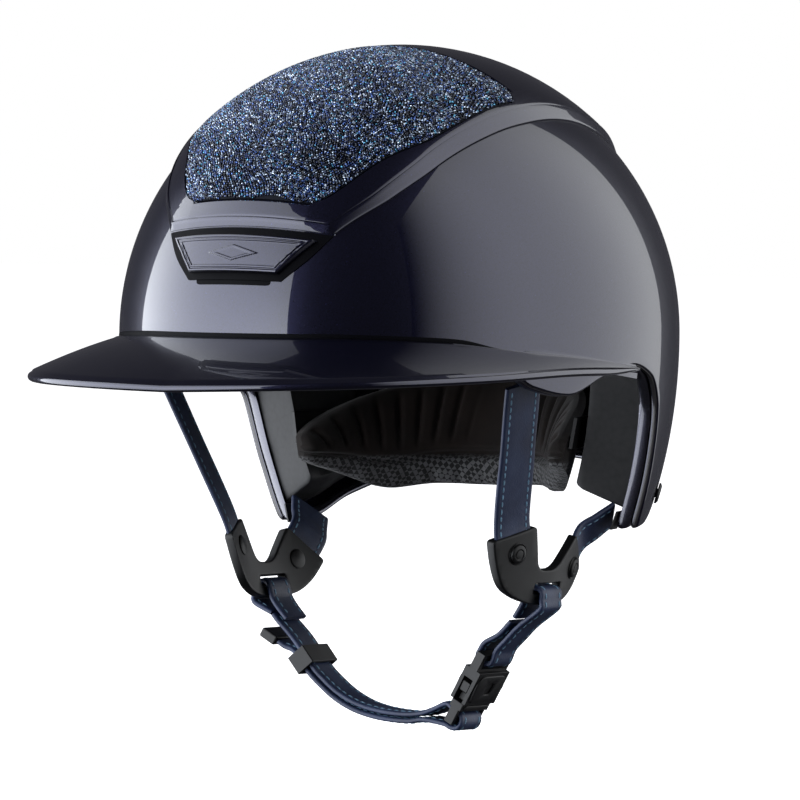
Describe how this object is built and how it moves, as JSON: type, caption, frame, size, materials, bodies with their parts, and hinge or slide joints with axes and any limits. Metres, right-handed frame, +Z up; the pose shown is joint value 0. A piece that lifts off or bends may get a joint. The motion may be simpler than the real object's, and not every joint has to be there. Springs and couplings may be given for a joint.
{
  "type": "riding helmet",
  "caption": "Equestrian riding helmet with a short curved brim, jewelled panel over the crown and an adjustable leather chin harness with a side buckle.",
  "frame": {"origin": "centre of the head opening, level with the place where the brim meets the shell", "axes": "+Z up through the crown, the wearer faces -Y, the wearer's left is +X"},
  "size_m": [0.2384, 0.3409, 0.296],
  "materials": {
    "shell_gloss": "clear-coated metallic paint",
    "trim_black": "smooth gloss moulding",
    "satin_black": "satin",
    "crystal": "faceted stones set close together",
    "foam": "dull expanded foam",
    "padding": "soft knitted cloth",
    "leather": "satin, stitched"
  },
  "bodies": {
    "helmet": {"outer_shell": "shell_gloss", "brim": "shell_gloss", "top_frame": "shell_gloss", "front_badge": "shell_gloss", "rim_trim": "trim_black", "crystal_plate": "crystal", "vent_insert": "satin_black", "impact_liner": "foam", "crown_pad": "padding", "forehead_pad": "padding", "side_pad_left": "padding", "side_pad_right": "padding", "front_strap_left": "leather", "rear_strap_left": "leather", "strap_divider_left": "satin_black", "front_anchor_left": "satin_black", "rear_anchor_left": "satin_black", "rear_rivet_left": "satin_black", "divider_cap_front_left": "satin_black", "divider_cap_rear_left": "satin_black", "front_strap_right": "leather", "rear_strap_right": "leather", "strap_divider_right": "satin_black", "front_anchor_right": "satin_black", "rear_anchor_right": "satin_black", "rear_rivet_right": "satin_black", "divider_cap_front_right": "satin_black", "divider_cap_rear_right": "satin_black"},
    "cradle": {"cradle_band": "satin_black", "nape_pad": "padding", "nape_housing": "satin_black"},
    "dial": {"size_dial": "satin_black", "dial_spindle": "satin_black"},
    "chin_harness": {"buckle_strap": "leather", "slot_loop_right": "leather", "chin_strap": "leather", "strap_end_tip": "satin_black", "buckle_socket": "satin_black"},
    "keeper": {"strap_keeper": "satin_black"},
    "plug": {"buckle_plug": "satin_black"},
    "release_front": {"release_arm_front": "satin_black"},
    "release_rear": {"release_arm_rear": "satin_black"}
  },
  "joints": [
    {"name": "chin_swing", "type": "hinge", "parent": "helmet", "child": "chin_harness", "pos_m": [0, 0.005, -0.109], "axis": [1, 0, 0], "range_deg": [-3, 3]},
    {"name": "buckle_pull", "type": "slide", "parent": "chin_harness", "child": "plug", "axis": [-0.506, 0, -0.8625], "range_m": [0, 0.03], "deforming": ["chin_strap"]},
    {"name": "release_press_front", "type": "hinge", "parent": "plug", "child": "release_front", "pos_m": [0.03381, -0.0025, -0.15742], "axis": [-0.8625, 0, 0.506], "range_deg": [0, 12], "stiffness_Nm_per_rad": 0.05},
    {"name": "release_press_rear", "type": "hinge", "parent": "plug", "child": "release_rear", "pos_m": [0.03381, 0.0125, -0.15742], "axis": [0.8625, 0, -0.506], "range_deg": [0, 12], "stiffness_Nm_per_rad": 0.05},
    {"name": "keeper_slide", "type": "slide", "parent": "chin_harness", "child": "keeper", "axis": [0.6166, 0, -0.7873], "range_m": [-0.005, 0.004]},
    {"name": "cradle_slide", "type": "slide", "parent": "helmet", "child": "cradle", "axis": [0, -1, 0], "range_m": [0, 0.01]},
    {"name": "size_dial_turn", "type": "hinge", "parent": "cradle", "child": "dial", "pos_m": [0, 0.1108, -0.054], "axis": [0, 1, 0], "range_deg": [0, 345]}
  ],
  "couplings": [
    {"joint": "size_dial_turn", "follows": "cradle_slide", "rad_per_m": 600},
    {"joint": "release_press_rear", "follows": "release_press_front", "ratio": 1}
  ]
}
